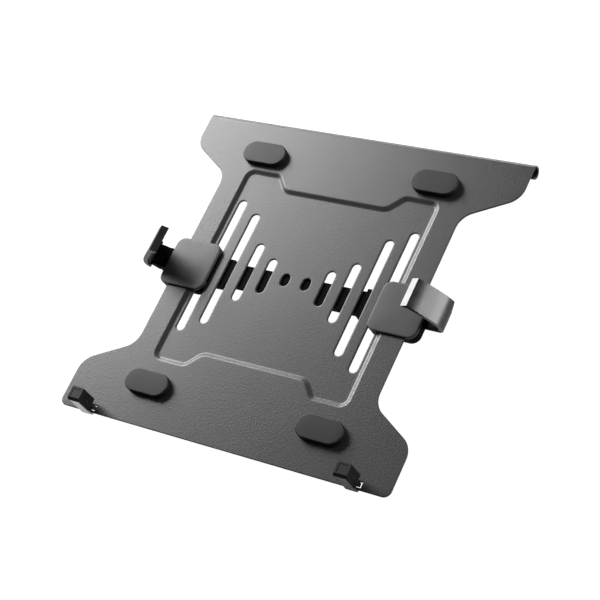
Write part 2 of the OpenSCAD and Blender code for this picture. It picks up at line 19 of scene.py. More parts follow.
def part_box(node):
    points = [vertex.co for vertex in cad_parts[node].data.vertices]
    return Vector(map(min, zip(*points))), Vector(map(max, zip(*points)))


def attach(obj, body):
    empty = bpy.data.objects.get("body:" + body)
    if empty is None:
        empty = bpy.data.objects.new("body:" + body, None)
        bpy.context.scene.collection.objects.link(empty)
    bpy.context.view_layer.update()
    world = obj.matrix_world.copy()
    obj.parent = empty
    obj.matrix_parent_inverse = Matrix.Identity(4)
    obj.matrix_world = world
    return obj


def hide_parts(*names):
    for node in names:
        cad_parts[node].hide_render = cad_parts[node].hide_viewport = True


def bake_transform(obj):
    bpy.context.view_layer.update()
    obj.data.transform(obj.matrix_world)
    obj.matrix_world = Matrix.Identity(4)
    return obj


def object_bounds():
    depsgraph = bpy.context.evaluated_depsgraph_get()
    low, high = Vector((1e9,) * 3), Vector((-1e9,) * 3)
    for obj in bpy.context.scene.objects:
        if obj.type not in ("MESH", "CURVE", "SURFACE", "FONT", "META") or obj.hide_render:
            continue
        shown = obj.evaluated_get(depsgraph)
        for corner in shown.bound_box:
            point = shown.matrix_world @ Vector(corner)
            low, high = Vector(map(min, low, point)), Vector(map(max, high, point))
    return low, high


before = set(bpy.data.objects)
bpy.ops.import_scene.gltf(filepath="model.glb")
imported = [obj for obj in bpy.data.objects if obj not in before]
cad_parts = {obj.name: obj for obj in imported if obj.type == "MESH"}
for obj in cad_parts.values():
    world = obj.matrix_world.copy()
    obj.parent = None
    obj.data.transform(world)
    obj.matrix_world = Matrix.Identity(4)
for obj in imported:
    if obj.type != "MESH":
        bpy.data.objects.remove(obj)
cad_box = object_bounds()
MM = 0.001
scene = bpy.context.scene
print("CAD nodes:", len(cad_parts))

# %% [markdown]
# ## Camera
#
# The photograph was taken from the front right and above with a long lens, so parallel edges
# hardly converge. Its place, directions and lens were fitted to the outline of the sheet, to its
# hem and to the edges of its slots, with the CAD's sizes taken as true. A camera could also be
# aimed with a Track To constraint, but a matrix says exactly how it is turned, its roll included.

# %% The camera
CAMERA_PLACE = Vector((633.93, -420.61, 912.60)) * MM
LOOK_RIGHT = Vector((0.82791, 0.41049, -0.38217))
LOOK_UP = Vector((-0.18570, 0.84361, 0.50382))
LOOK_BACK = Vector((0.52922, -0.34615, 0.77467))
SENSOR_WIDTH = 36.0
LENS = 98.9

camera_data = bpy.data.cameras.new("studio_camera")
camera_data.lens = LENS
camera_data.sensor_width = SENSOR_WIDTH
camera_data.clip_start = 0.05
camera_data.clip_end = 20.0
camera = bpy.data.objects.new("studio_camera", camera_data)
scene.collection.objects.link(camera)
turn = Matrix((LOOK_RIGHT, LOOK_UP, LOOK_BACK)).transposed()
camera.matrix_world = Matrix.Translation(CAMERA_PLACE) @ turn.to_4x4()
scene.camera = camera
print("camera distance in metres:", round(CAMERA_PLACE.length, 3))

# %% [markdown]
# ## Stage and light
#
# A product photographer lays such a tray on a white table that is lit until it has no shadow
# left, so the slots show white. The white floor here has a little light of its own. It glows
# fully only for the camera's own rays, so that it doesn't light the tray's underside too.
#
# The look of the satin coating comes from one large soft box at the left rear. The sheet
# mirrors it broadly at its left end and less and less towards the right. A small low box at the
# right rear gives the outer face of the right claw its sheen, another behind the tray draws the
# light line along the hem, and a weak one overhead fills.

# %% Stage and light
FLOOR_HALF = 6.0
FLOOR_DROP = 0.0002


def soft_box(name, place, target, width, height, power):
    """One rectangular area light that looks from place to target."""
    data = bpy.data.lights.new(name, "AREA")
    data.shape = "RECTANGLE"
    data.size = width
    data.size_y = height
    data.energy = power
    lamp = bpy.data.objects.new(name, data)
    lamp.location = place
    lamp.rotation_euler = (Vector(target) - Vector(place)).to_track_quat("-Z", "Y").to_euler()
    scene.collection.objects.link(lamp)


floor_mesh = bpy.data.meshes.new("studio_floor")
floor_z = cad_box[0][2] - FLOOR_DROP
corners = ((-1, -1), (1, -1), (1, 1), (-1, 1))
floor_mesh.from_pydata([(x * FLOOR_HALF, y * FLOOR_HALF, floor_z) for x, y in corners], [], [(0, 1, 2, 3)])
studio_floor = bpy.data.objects.new("studio_floor", floor_mesh)
scene.collection.objects.link(studio_floor)

soft_box("rear_left_box", place=(-0.93, 0.52, 0.56), target=(0.0, 0.0, 0.0),
         width=0.8, height=0.72, power=25.0)
soft_box("right_low_box", place=(1.0, 0.40, 0.20), target=(0.12, 0.0, 0.02),
         width=0.8, height=0.42, power=9.5)
soft_box("rear_low_box", place=(-0.45, 1.15, 0.13), target=(0.0, 0.12, 0.0),
         width=0.9, height=0.25, power=6.0)
soft_box("overhead_box", place=(0.1, -0.1, 1.7), target=(0.0, 0.0, 0.0),
         width=0.7, height=0.7, power=1.2)
scene.world = scene.world or bpy.data.worlds.new("studio_world")
scene.world.use_nodes = True
backdrop = scene.world.node_tree.nodes["Background"]
backdrop.inputs["Color"].default_value = (1.0, 1.0, 1.0, 1.0)
backdrop.inputs["Strength"].default_value = 0.10
scene.view_settings.view_transform = "Standard"
print("floor at", round(floor_z / MM, 2), "mm, lamps:", len(bpy.data.lights))

# %% [markdown]
# ## Finishes
#
# Every colour is written as the sRGB hex value that a colour picker shows. Blender mixes light
# in linear values, so one function turns hex to linear. Another adds a node with its settings
# and links. Every finish is then noise that blends two colours, spreads the roughness a little
# and raises a fine relief.

# %% Colour and node helpers


def linear(hex_colour):
    """An sRGB hex colour such as 4a4a4c as linear red, green, blue and alpha."""
    shares = [int(hex_colour[i:i + 2], 16) / 255 for i in (0, 2, 4)]
    return [s / 12.92 if s <= 0.04045 else ((s + 0.055) / 1.055) ** 2.4 for s in shares] + [1.0]


def add_node(tree, kind, settings=None, inputs=None):
    """Adds a node; an input is a value or the output socket that feeds it."""
    node = tree.nodes.new(kind)
    for key, value in (settings or {}).items():
        setattr(node, key, value)
    for key, value in (inputs or {}).items():
        if isinstance(value, bpy.types.NodeSocket):
            tree.links.new(value, node.inputs[key])
        else:
            node.inputs[key].default_value = value
    return node


def per_mm(size_mm):
    """The Scale that makes a noise's lumps about size_mm across."""
    return 1.0 / (size_mm * MM)


def new_finish(name):
    """A material with its node tree, its surface shader and its object coordinates."""
    material = bpy.data.materials.new(name)
    material.use_nodes = True
    tree = material.node_tree
    shader = tree.nodes["Principled BSDF"]
    place = add_node(tree, "ShaderNodeTexCoord").outputs["Object"]
    return material, tree, shader, place


def lumps(tree, place, size_mm, detail):
    """Noise with lumps about size_mm across, from 0 to 1."""
    noise = add_node(tree, "ShaderNodeTexNoise", None,
                     {"Vector": place, "Scale": per_mm(size_mm), "Detail": detail})
    return noise.outputs["Fac"]


def two_tone(tree, share, dark, light):
    """A colour between two hex colours; a colour Mix takes them in its sockets 6 and 7."""
    tone = add_node(tree, "ShaderNodeMix", {"data_type": "RGBA"},
                    {0: share, 6: linear(dark), 7: linear(light)})
    return tone.outputs[2]


def spread(tree, share, low, high):
    """A number between low and high."""
    scaled = add_node(tree, "ShaderNodeMapRange", None, {"Value": share, "To Min": low, "To Max": high})
    return scaled.outputs["Result"]


def relief(tree, share, depth_mm, strength):
    """A normal that is tilted by bumps of a given depth."""
    bump = add_node(tree, "ShaderNodeBump", None,
                    {"Height": share, "Distance": depth_mm * MM, "Strength": strength})
    return bump.outputs["Normal"]


def link_surface(tree, shader, tone, roughness, normal):
    tree.links.new(tone, shader.inputs["Base Color"])
    tree.links.new(roughness, shader.inputs["Roughness"])
    tree.links.new(normal, shader.inputs["Normal"])


print("mid grey in linear light:", [round(v, 3) for v in linear("808080")[:3]])

# %% [markdown]
# ### Powder coated steel
#
# The tray is steel sheet with a baked polyester powder in near black. The powder melts into a
# skin with a very fine orange peel, so its gloss is satin: a soft box shows as a broad glow with
# no edge, and that glow, not the colour, is most of what the eye sees. The peel is drawn 1.5 mm
# across, coarser than it is likely to be, because a finer one wouldn't show.

# %% Powder coated steel
PEEL_MM = 1.5
CLOUD_MM = 34.0


def powder_coated_steel():
    material, tree, shader, place = new_finish("powder_coated_steel")
    cloud = lumps(tree, place, CLOUD_MM, 3.0)
    peel = lumps(tree, place, PEEL_MM, 2.0)
    link_surface(tree, shader, two_tone(tree, cloud, "29292b", "363638"),
                 spread(tree, peel, 0.27, 0.43), relief(tree, peel, 0.09, 1.0))
    shader.inputs["IOR"].default_value = 1.5
    return material


TRAY_FINISH = powder_coated_steel()
print("made", TRAY_FINISH.name)

# %% [markdown]
# ### Moulded rubber
#
# The pads and the stop caps are moulded from black rubber. It reflects little, and what it does
# reflect is spread wide, so it looks flat and even. A faint bloom lightens it in soft patches,
# and the mould leaves a fine matt grain, here 0.6 mm.

# %% Moulded rubber
RUBBER_GRAIN_MM = 0.6
BLOOM_MM = 9.0


def moulded_rubber(name, dark, light, roughness, shine):
    material, tree, shader, place = new_finish(name)
    bloom = lumps(tree, place, BLOOM_MM, 3.0)
    grain = lumps(tree, place, RUBBER_GRAIN_MM, 3.0)
    link_surface(tree, shader, two_tone(tree, bloom, dark, light),
                 spread(tree, bloom, roughness - 0.08, roughness + 0.08),
                 relief(tree, grain, 0.05, 0.5))
    shader.inputs["Specular IOR Level"].default_value = shine
    return material


PAD_RUBBER = moulded_rubber("moulded_pad_rubber", "0f0f11", "191919", 0.48, 0.26)
STOP_RUBBER = moulded_rubber("moulded_stop_rubber", "0e0e0f", "171718", 0.55, 0.25)
print("made", PAD_RUBBER.name, STOP_RUBBER.name)

# %% [markdown]
# ### Moulded plastics
#
# Covers and claws are injection moulded ABS from a finely sparked mould. The surface is satin
# and slightly mottled, much like the powder, which is why the covers hardly stand out from the
# sheet. The claws come from a smoother mould and are a little glossier. Nylon for the sliding
# parts is darker and duller.

# %% Moulded plastics
SPARK_MM = 0.9
MOTTLE_MM = 6.0


def moulded_plastic(name, dark, light, roughness, spark, shine):
    material, tree, shader, place = new_finish(name)
    mottle = lumps(tree, place, MOTTLE_MM, 3.0)
    grain = lumps(tree, place, SPARK_MM, 2.0)
    link_surface(tree, shader, two_tone(tree, mottle, dark, light),
                 spread(tree, mottle, roughness - 0.06, roughness + 0.06),
                 relief(tree, grain, 0.03, spark))
    shader.inputs["IOR"].default_value = 1.53
    shader.inputs["Specular IOR Level"].default_value = shine
    return material


SPARKED_ABS = moulded_plastic("sparked_abs", "252527", "323234", 0.44, 0.9, 0.4)
CLAW_ABS = moulded_plastic("handled_abs", "1c1c1e", "28282a", 0.22, 0.5, 0.5)
BLACK_NYLON = moulded_plastic("black_nylon", "040404", "0a0a0b", 0.6, 0.25, 0.02)
print("made", SPARKED_ABS.name, CLAW_ABS.name, BLACK_NYLON.name)

# %% [markdown]
# ### Plated steel
#
# The straps are steel strip, brushed along its length and then plated. The screws and pins are
# bright zinc and the springs are drawn wire. All are metals, so the colour is in the reflection
# and the default IOR stays. Brushing is a noise squeezed along the strip, with lines about
# 0.25 mm apart.

# %% Plated steel
BRUSH_MM = 1.5


def plated_steel(name, dark, light, roughness, squeeze):
    material, tree, shader, place = new_finish(name)
    along = add_node(tree, "ShaderNodeMapping", None, {"Vector": place, "Scale": squeeze})
    lines = lumps(tree, along.outputs["Vector"], BRUSH_MM, 3.0)
    link_surface(tree, shader, two_tone(tree, lines, dark, light),
                 spread(tree, lines, roughness - 0.1, roughness + 0.1),
                 relief(tree, lines, 0.01, 0.3))
    shader.inputs["Metallic"].default_value = 1.0
    return material


BRUSHED_STRIP = plated_steel("brushed_steel_strip", "acacae", "cfcfd1", 0.34, (6.0, 0.6, 0.6))
BRIGHT_ZINC = plated_steel("bright_zinc", "949496", "bcbcbe", 0.30, (1.0, 1.0, 1.0))
SPRING_WIRE = plated_steel("drawn_spring_wire", "a0a0a2", "c6c6c8", 0.28, (1.0, 1.0, 1.0))
print("made", BRUSHED_STRIP.name, BRIGHT_ZINC.name, SPRING_WIRE.name)

# %% [markdown]
# ### The table
#
# A table top lit from below until it is white. Its own colour is a mid grey with a very faint
# wide cloud, so it throws little light up at the tray. The light that it gives off depends on
# which ray asks: the camera sees it plain white from every side, shiny edges mirror about half of
# that, and matt surfaces get next to nothing. Before the right stop it is dark to mirrored rays.
# Nothing real lies there, and a plain table wouldn't have that patch: it only darkens the right
# strap, which is dark in the photograph.

# %% White table
TABLE_CLOUD_MM = 400.0
CAMERA_GLOW = 1.0
MIRRORED_GLOW = 0.55
MATT_GLOW = 0.04
# A painted dark reflection: a patch of the table before the right stop that only mirrored rays see dark,
# so the right strap mirrors shade there.
PAINTED_DARK_REFLECTION_SPOT = (0.10, -0.15, floor_z)
PAINTED_DARK_REFLECTION_GLOW = 0.02
PAINTED_DARK_REFLECTION_RADII = (0.03, 0.08)


def white_table():
    material, tree, shader, place = new_finish("white_table")
    tone = two_tone(tree, lumps(tree, place, TABLE_CLOUD_MM, 2.0), "6c6c6e", "747476")
    ray = add_node(tree, "ShaderNodeLightPath")
    direct = spread(tree, ray.outputs["Is Camera Ray"], MATT_GLOW, CAMERA_GLOW)
    # The painted dark reflection: near that patch, mirrored rays get far less glow.
    away = add_node(tree, "ShaderNodeVectorMath", {"operation": "DISTANCE"}, {0: place, 1: PAINTED_DARK_REFLECTION_SPOT})
    mirrored = add_node(tree, "ShaderNodeMapRange", None,
                        {"Value": away.outputs["Value"], "From Min": PAINTED_DARK_REFLECTION_RADII[0],
                         "From Max": PAINTED_DARK_REFLECTION_RADII[1], "To Min": PAINTED_DARK_REFLECTION_GLOW,
                         "To Max": MIRRORED_GLOW})
    glow = add_node(tree, "ShaderNodeMath", {"operation": "MULTIPLY_ADD"},
                    {0: ray.outputs["Is Glossy Ray"], 1: mirrored.outputs["Result"], 2: direct})
    tree.links.new(tone, shader.inputs["Base Color"])
    tree.links.new(glow.outputs["Value"], shader.inputs["Emission Strength"])
    shader.inputs["Emission Color"].default_value = linear("ffffff")
    shader.inputs["Roughness"].default_value = 0.9
    shader.inputs["Specular IOR Level"].default_value = 0.1
    return material


floor_mesh.materials.append(white_table())
print("made", floor_mesh.materials[0].name)

# %% [markdown]
# ## Rings and skins
#
# Most pieces here are skins over rows of points: each row follows an outline at one height, and
# neighbouring rows are joined by four-sided faces. These helpers make the outlines, join the
# rows and close the mesh. Sizes stay in millimetres until the mesh is made.

# %% Outlines with rounded corners
CORNER_STEPS = 12


def corner_arc(before, here, after, radius, inset):
    """Points round one corner of a counter-clockwise outline that is set in by inset."""
    here = Vector(here)
    back = (Vector(before) - here).normalized()
    ahead = (Vector(after) - here).normalized()
    half = back.angle(ahead) / 2
    middle = here + (back + ahead).normalized() * radius / math.sin(half)
    start = here + back * radius / math.tan(half) - middle
    end = here + ahead * radius / math.tan(half) - middle
    first = math.atan2(start.y, start.x)
    sweep = (math.atan2(end.y, end.x) - first + math.pi) % math.tau - math.pi
    reach = radius - inset if sweep > 0 else radius + inset
    angles = [first + sweep * i / CORNER_STEPS for i in range(CORNER_STEPS + 1)]
    return [middle + reach * Vector((math.cos(a), math.sin(a))) for a in angles]


def closed_outline(corners, inset=0.0):
    points = []
    for i, (x, y, radius) in enumerate(corners):
        after = corners[(i + 1) % len(corners)]
        points += corner_arc(corners[i - 1][:2], (x, y), after[:2], radius, inset)
    return points


def box_corners(x, y, half_x, half_y, radius):
    return [(x + half_x * i, y + half_y * j, radius) for i, j in ((-1, -1), (1, -1), (1, 1), (-1, 1))]


print("points round a rounded box:", len(closed_outline(box_corners(0, 0, 10, 5, 2))))

# %% Closing a mesh
SHARP = math.radians(40)
WELD_MM = 0.003
SHORTEST_MM = 0.001


class Skin:
    """Points in millimetres and the faces between them."""

    def __init__(self):
        self.points = []
        self.faces = []

    def lay(self, flat, height):
        """Adds a row of flat points at one height and returns their numbers."""
        first = len(self.points)
        self.points.extend((p[0], p[1], height) for p in flat)
        return list(range(first, len(self.points)))

    def join(self, one, other, closed=True):
        """Four-sided faces between two rows with equally many points."""
        for i in range(len(one) - (0 if closed else 1)):
            j = (i + 1) % len(one)
            self.faces.append((one[i], one[j], other[j], other[i]))

    def stack(self, rows):
        """A closed body through rows of (flat points, height), its first and last row filled."""
        numbers = [self.lay(flat, height) for flat, height in rows]
        for one, other in zip(numbers, numbers[1:]):
            self.join(one, other)
        self.faces += [numbers[0][::-1], numbers[-1]]

    def mesh(self, name):
        """The mesh, merged, with its faces turned outwards and its sharp edges marked."""
        mesh = bpy.data.meshes.new(name)
        mesh.from_pydata([Vector(p) * MM for p in self.points], [], self.faces)
        shape = bmesh.new()
        shape.from_mesh(mesh)
        bmesh.ops.remove_doubles(shape, verts=shape.verts, dist=WELD_MM * MM)
        bmesh.ops.dissolve_degenerate(shape, dist=SHORTEST_MM * MM, edges=shape.edges)
        bmesh.ops.recalc_face_normals(shape, faces=shape.faces)
        for face in shape.faces:
            face.smooth = True
        for edge in shape.edges:
            edge.smooth = len(edge.link_faces) == 2 and edge.calc_face_angle(0.0) < SHARP
        gaps = sum(len(edge.link_faces) != 2 for edge in shape.edges)
        shape.to_mesh(mesh)
        shape.free()
        print(name, "faces:", len(mesh.polygons), "open edges:", gaps)
        return mesh


# %% Finished pieces


def finish_piece(name, mesh, material, body, slot, *nodes):
    """An object for a mesh, with flat faces kept flat, its body, and its CAD nodes hidden; slot is not
    used.
    """
    piece = bpy.data.objects.new(name, mesh)
    mesh.materials.clear()
    mesh.materials.append(material)
    scene.collection.objects.link(piece)
    piece.modifiers.new("flat_faces", "WEIGHTED_NORMAL").keep_sharp = True
    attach(piece, body)
    if nodes:
        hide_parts(*nodes)
    return piece


SIDES = (("left", -1), ("right", 1))
print("sides:", SIDES)

# %% [markdown]
# ## The tray
#
# The tray is one sheet of steel, 1.5 mm thick: cut to shape, punched, pressed down in the middle
# and rolled under at the rear. It is modelled the same way, as one closed skin. Rings of points
# follow each outline. A punch drags the skin of the sheet down a little before it cuts, so the
# edge rolls over, wide and shallow, and that roll catches a thin line of light round each slot.
# The flats between the rings are filled by a constrained triangulation.
# A grid with subdivision could do it too, but it would soften the punched corners.

# %% Sizes of the sheet in millimetres
SHEET = 1.5
TOP_Z = 1.5
# How far each cut edge rolls over: inwards along the sheet, and down
EDGE_ROLL = (0.45, 0.32)
HOLE_ROLL = (1.0, 0.36)
ROLL_STEPS = 4
HALF_WIDTH = 141.5
HALF_WAIST = 103.0
HEM_Y = 124.0
HEM_RADIUS = 5.0
# Corners as x, y and radius: the left half of the free edge, and the pressing's rear half
LEFT_EDGE = (
    (-HALF_WIDTH, 98.5, 16.0), (-HALF_WAIST, 76.3, 16.0), (-HALF_WAIST, -76.3, 16.0),
    (-HALF_WIDTH, -98.5, 16.0), (-HALF_WIDTH, -137.0, 5.5),
)
FREE_EDGE = LEFT_EDGE + tuple((-x, y, radius) for x, y, radius in reversed(LEFT_EDGE))
PRESS_REAR = (
    (85.3, 85.5, 8.5), (54.03, 85.5, 8.0), (43.5, 73.4, 8.0),
    (-43.5, 73.4, 8.0), (-54.03, 85.5, 8.0), (-85.3, 85.5, 8.5),
)
PRESS_EDGE = PRESS_REAR + tuple((-x, -y, radius) for x, y, radius in PRESS_REAR)
PRESS_WALL = 4.7
WALL_STEPS = 14
SLOT_WIDTH = 7.0
# Each slot's place along x and its length, the same on both sides
SLOTS = ((9.0, 10.0), (25.5, 29.0), (42.0, 49.0), (58.5, 96.0), (75.0, 115.0))
# The hole for a stop: x, y, half of its width and depth, and its corner radius
STOP_HOLE = (114.0, -133.25, 5.5, 2.05, 0.3)
print("slots:", 2 * len(SLOTS), "corners of the free edge:", len(FREE_EDGE))

# %% Outline of the sheet


def free_edge(inset):
    """The sheet's edge from the left end of the hem, round the front, to its right end."""
    ends = ((-HALF_WIDTH, HEM_Y, 0.0), *FREE_EDGE, (HALF_WIDTH, HEM_Y, 0.0))
    points = [Vector((inset - HALF_WIDTH, HEM_Y))]
    for before, here, after in zip(ends, ends[1:], ends[2:]):
        points += corner_arc(before[:2], here[:2], after[:2], here[2], inset)
    return points + [Vector((HALF_WIDTH - inset, HEM_Y))]


print("points round the sheet:", len(free_edge(0.0)))
print("points round the pressing:", len(closed_outline(PRESS_EDGE)))

# %% Cut edges and flats of the sheet
skin = Skin()


def punched_edge(top, roll):
    """Pairs of inset and height from the upper flat, round the cut edge, to the lower flat."""
    turns = [math.pi / 2 * i / ROLL_STEPS for i in range(ROLL_STEPS + 1)]
    upper = [(roll[0] * (1 - math.sin(a)), top - roll[1] * (1 - math.cos(a))) for a in turns]
    lower = [(inset, 2 * top - SHEET - height) for inset, height in reversed(upper)]
    return upper + lower


def punched_hole(corners, top):
    """The wall of a hole, as rows from its upper to its lower edge."""
    rows = [skin.lay(closed_outline(corners, -inset), height)
            for inset, height in punched_edge(top, HOLE_ROLL)]
    for one, other in zip(rows, rows[1:]):
        skin.join(one, other)
    return rows[0], rows[-1]


def is_inside(point, loop):
    """Counts how often a line from point to the right crosses the loop."""
    odd = False
    for (ax, ay), (bx, by) in zip(loop, loop[1:] + loop[:1]):
        if (ay > point.y) != (by > point.y) and point.x < ax + (bx - ax) * (point.y - ay) / (by - ay):
            odd = not odd
    return odd


def fill_flat(outer, holes):
    """Triangles between an outer row of points and the rows round its holes."""
    loops = [outer, *holes]
    numbers = [i for loop in loops for i in loop]
    edges = []
    for loop in loops:
        first = edges[-1][0] + 1 if edges else 0
        edges += [(first + k, first + (k + 1) % len(loop)) for k in range(len(loop))]
    flat = [Vector(skin.points[i][:2]) for i in numbers]
    points, _, triangles, origin, _, _ = delaunay_2d_cdt(flat, edges, [], 0, 1e-5)
    outlines = [[skin.points[i][:2] for i in loop] for loop in loops]
    for triangle in triangles:
        middle = sum((points[i] for i in triangle), Vector((0.0, 0.0))) / 3
        if is_inside(middle, outlines[0]) and not any(is_inside(middle, o) for o in outlines[1:]):
            skin.faces.append([numbers[origin[i][0]] for i in triangle])


# %% The free edge and the rolled hem
# The hem turns 270 degrees, so its end points back at the underside of the sheet
HEM_STEPS = 30
edge_section = punched_edge(TOP_Z, EDGE_ROLL)
rims = [skin.lay(free_edge(inset), height) for inset, height in edge_section]
for one, other in zip(rims, rims[1:]):
    skin.join(one, other, closed=False)
hem_ends = {-1: [], 1: []}
for (inset, height), rim in zip(edge_section, rims):
    reach = height - (TOP_Z - HEM_RADIUS)
    for sign in hem_ends:
        row = [rim[0] if sign < 0 else rim[-1]]
        for i in range(1, HEM_STEPS + 1):
            angle = math.radians(90 - 270 * i / HEM_STEPS)
            place = (sign * (HALF_WIDTH - inset), HEM_Y + reach * math.cos(angle))
            row += skin.lay([place], TOP_Z - HEM_RADIUS + reach * math.sin(angle))
        hem_ends[sign].append(row)
for rows in hem_ends.values():
    for one, other in zip(rows, rows[1:]):
        skin.join(one, other, closed=False)
for k in (0, -1):
    skin.join(hem_ends[-1][k], hem_ends[1][k], closed=False)
skin.faces.append([row[-1] for row in hem_ends[-1]] + [row[-1] for row in reversed(hem_ends[1])])
print("hem rows:", len(hem_ends[1]), "x", HEM_STEPS + 1)

# %% The pressed wall, the holes and the flats
wall_rows = []
for under in (0.0, SHEET):
    rows = []
    for step in range(WALL_STEPS + 1):
        share = step / WALL_STEPS
        drop = TOP_Z * (1 - math.cos(math.pi * share)) / 2
        rows.append(skin.lay(closed_outline(PRESS_EDGE, PRESS_WALL * share), TOP_Z - drop - under))
    for one, other in zip(rows, rows[1:]):
        skin.join(one, other)
    wall_rows.append(rows)
slots = []
for x, length in SLOTS:
    for sign in (-1, 1):
        ends = box_corners(sign * x, 0.0, SLOT_WIDTH / 2, length / 2, SLOT_WIDTH / 2)
        slots.append(punched_hole(ends, TOP_Z - SHEET))
stop_x, *stop_shape = STOP_HOLE
stop_holes = [punched_hole(box_corners(sign * stop_x, *stop_shape), TOP_Z) for sign in (-1, 1)]
for level, k in ((0, 0), (1, -1)):
    fill_flat(rims[k], [wall_rows[level][0]] + [hole[k] for hole in stop_holes])
    fill_flat(wall_rows[level][-1], [hole[k] for hole in slots])
print("tray points:", len(skin.points), "faces:", len(skin.faces))

# %% The tray
finish_piece("tray", skin.mesh("tray"), TRAY_FINISH, "tray", "tray_steel", "tray_plate")

# %% [markdown]
# ## The pads
#
# Four rubber pads carry the laptop. They are alike, so one is modelled and a Geometry Nodes tree
# stands it on four points. Each is a rounded bar with a soft upper edge, moulded in one piece
# and stuck down.

# %% A tree that stands a shape on points


def placing_tree(name):
    """Stands one shape on every point of a mesh, each turned a little by chance."""
    tree = bpy.data.node_groups.new(name, "GeometryNodeTree")
    tree.is_modifier = True
    for title, kind in (("Points", "Geometry"), ("Shape", "Object"), ("Size", "Float"),
                        ("Largest turn", "Float"), ("Finish", "Material")):
        tree.interface.new_socket(title, in_out="INPUT", socket_type="NodeSocket" + kind)
    tree.interface.new_socket("Mesh", in_out="OUTPUT", socket_type="NodeSocketGeometry")
    given = add_node(tree, "NodeGroupInput").outputs
    shape = add_node(tree, "GeometryNodeObjectInfo", None, {"Object": given["Shape"]})
    chance = add_node(tree, "FunctionNodeRandomValue", {"data_type": "FLOAT"},
                      {2: 0.0, 3: given["Largest turn"], "Seed": 5})
    turn = add_node(tree, "ShaderNodeCombineXYZ", None, {"Z": chance.outputs[1]})
    stood = add_node(tree, "GeometryNodeInstanceOnPoints", None,
                     {"Points": given["Points"], "Instance": shape.outputs["Geometry"],
                      "Rotation": turn.outputs["Vector"], "Scale": given["Size"]})
    real = add_node(tree, "GeometryNodeRealizeInstances", None, {"Geometry": stood.outputs["Instances"]})
    done = add_node(tree, "GeometryNodeSetMaterial", None,
                    {"Geometry": real.outputs["Geometry"], "Material": given["Finish"]})
    add_node(tree, "NodeGroupOutput", None, {"Mesh": done.outputs["Geometry"]})
    return tree


def run_tree(name, start, tree, values):
    """Runs a tree on a mesh and returns the result as a plain mesh."""
    carrier = bpy.data.objects.new(name + "_start", start)
    scene.collection.objects.link(carrier)
    modifier = carrier.modifiers.new("nodes", "NODES")
    modifier.node_group = tree
    for socket in tree.interface.items_tree:
        if socket.name in values:
            modifier[socket.identifier] = values[socket.name]
    seen = carrier.evaluated_get(bpy.context.evaluated_depsgraph_get())
    mesh = bpy.data.meshes.new_from_object(seen)
    carrier.modifiers.remove(modifier)
    bpy.data.objects.remove(carrier)
    mesh.name = name
    return mesh


def stand_on_points(name, tree, places_mm, shape_mesh, finish, largest_turn=0.0):
    """One mesh with a copy of shape_mesh at each place."""
    points = bpy.data.meshes.new(name + "_points")
    points.from_pydata([Vector(p) * MM for p in places_mm], [], [])
    shape = bpy.data.objects.new(name + "_shape", shape_mesh)
    mesh = run_tree(name, points, tree, {"Shape": shape, "Size": 1.0, "Largest turn": largest_turn,
                                         "Finish": finish})
    bpy.data.objects.remove(shape)
    return mesh


PLACING = placing_tree("stand_shape_on_points")
print("nodes in the tree:", len(PLACING.nodes))

# %% Pads
PAD_LENGTH = 37.5
PAD_WIDTH = 18.5
PAD_HEIGHT = 5.0
PAD_FOOT = 0.35
PAD_ROUND = 0.8
PAD_ROUND_STEPS = 5
PAD_CROWN = 0.12
# Rows of the slow crown: inset, and the share of the crown that is still to rise
PAD_TOP = ((3.5, 0.4), (7.5, 0.0))


def pad_mesh():
    skin = Skin()
    section = [(PAD_FOOT, 0.0), (0.0, PAD_FOOT)]
    for step in range(PAD_ROUND_STEPS + 1):
        angle = math.pi / 2 * step / PAD_ROUND_STEPS
        section.append((PAD_ROUND * (1 - math.cos(angle)),
                        PAD_HEIGHT - PAD_CROWN - PAD_ROUND * (1 - math.sin(angle))))
    section += [(inset, PAD_HEIGHT - share * PAD_CROWN) for inset, share in PAD_TOP]
    ends = box_corners(0.0, 0.0, PAD_LENGTH / 2, PAD_WIDTH / 2, PAD_WIDTH / 2)
    skin.stack([(closed_outline(ends, inset), height) for inset, height in section])
    return skin.mesh("pad_shape")


PAD_NODES = ("rear_left_pad", "rear_right_pad", "front_left_pad", "front_right_pad")
pad_places = []
for node in PAD_NODES:
    low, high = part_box(node)
    pad_places.append(((low.x + high.x) / 2 / MM, (low.y + high.y) / 2 / MM, low.z / MM))
pads = stand_on_points("pads", PLACING, pad_places, pad_mesh(), PAD_RUBBER)
finish_piece("pads", pads, PAD_RUBBER, "tray", "pad_rubber", *PAD_NODES)
print("pads stand at", [tuple(round(v, 1) for v in p) for p in pad_places])

# %% [markdown]
# ## The clamp covers
#
# Each cover is a moulded ABS cap, screwed to its base through the sheet. Its top is nearly flat,
# with a slow crown and a small round at its edge that draws a thin line of light. Rows that
# shrink towards the middle give that, where a bevelled box would be dead flat on top. Two bosses
# under it drop through the outermost slot.

# %% Clamp covers
COVER_CORNER = 6.5
CORNER_LOSS = 0.35
LEAST_CORNER = 0.5
# Rows from the foot to the middle: inset, and the share of the cover's height
COVER_EDGE = ((0.0, 0.0), (0.0, 0.52), (0.05, 0.60), (0.18, 0.68), (0.40, 0.745), (0.70, 0.78))
COVER_CROWN = ((1.6, 0.80), (3.0, 0.82), (5.0, 0.84), (8.0, 0.865), (12.0, 0.885), (17.5, 0.90))
CLAMP_Y = -3.5
SLOT_SCREW_X = SLOTS[-1][0]
SLOT_SCREW_Y = 13.5
BOSS_RADIUS = 3.2
BOSS_SINK = 0.1


def circle(x, y, radius, steps=32):
    turns = [math.tau * i / steps for i in range(steps)]
    return [(x + radius * math.cos(a), y + radius * math.sin(a)) for a in turns]


